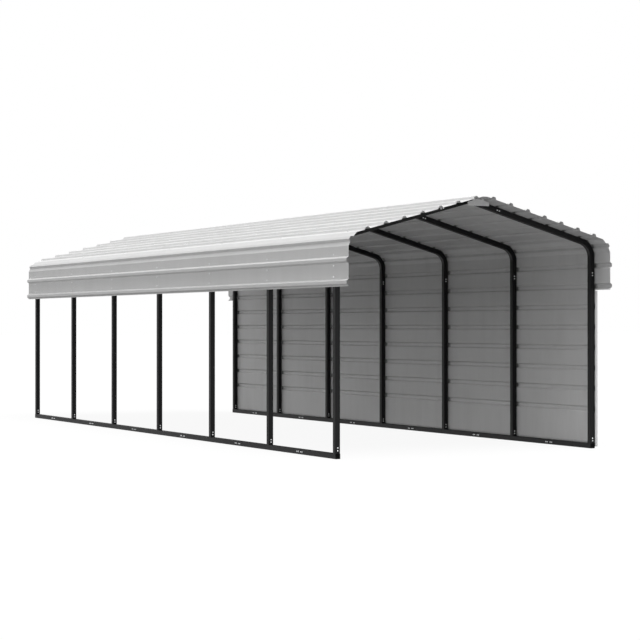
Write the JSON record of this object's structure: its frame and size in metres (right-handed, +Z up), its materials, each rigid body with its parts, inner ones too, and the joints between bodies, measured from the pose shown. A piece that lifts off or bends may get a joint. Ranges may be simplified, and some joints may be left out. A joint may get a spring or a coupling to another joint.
{
  "type": "carport",
  "caption": "Free-standing carport: bent square-tube frames on base rails carry a lapped ribbed-sheet gable roof with deep eave skirts; one long side is sheeted, the other open.",
  "frame": {"origin": "middle of the plan, on the ground under the base rails", "axes": "+X towards the sheeted side, -Y towards the front gable, +Z up"},
  "size_m": [3.0528, 8.771, 2.4773],
  "materials": {
    "frame_coat": "satin black powder coat",
    "sheet_coat": "pale grey baked paint on ribbed steel sheet",
    "trim_coat": "pale grey baked paint on folded steel",
    "cap_plastic": "matt black plastic"
  },
  "bodies": {
    "root": {"left_base_rail": "frame_coat", "right_base_rail": "frame_coat", "rail_splices": "frame_coat", "left_leg_1": "frame_coat", "left_leg_2": "frame_coat", "left_leg_3": "frame_coat", "left_leg_4": "frame_coat", "left_leg_5": "frame_coat", "left_leg_6": "frame_coat", "left_leg_7": "frame_coat", "right_leg_1": "frame_coat", "right_leg_2": "frame_coat", "right_leg_3": "frame_coat", "right_leg_4": "frame_coat", "right_leg_5": "frame_coat", "right_leg_6": "frame_coat", "right_leg_7": "frame_coat", "left_rafter_1": "frame_coat", "left_rafter_2": "frame_coat", "left_rafter_3": "frame_coat", "left_rafter_4": "frame_coat", "left_rafter_5": "frame_coat", "left_rafter_6": "frame_coat", "left_rafter_7": "frame_coat", "right_rafter_1": "frame_coat", "right_rafter_2": "frame_coat", "right_rafter_3": "frame_coat", "right_rafter_4": "frame_coat", "right_rafter_5": "frame_coat", "right_rafter_6": "frame_coat", "right_rafter_7": "frame_coat", "ridge_bends": "frame_coat", "ridge_panels": "sheet_coat", "left_slope_panels": "sheet_coat", "right_slope_panels": "sheet_coat", "left_eave_panels": "sheet_coat", "right_eave_panels": "sheet_coat", "upper_wall_panels": "sheet_coat", "lower_wall_panels": "sheet_coat", "front_wall_trim": "trim_coat", "rear_wall_trim": "trim_coat", "peak_plate": "trim_coat", "rail_end_caps": "cap_plastic"}
  },
  "joints": []
}
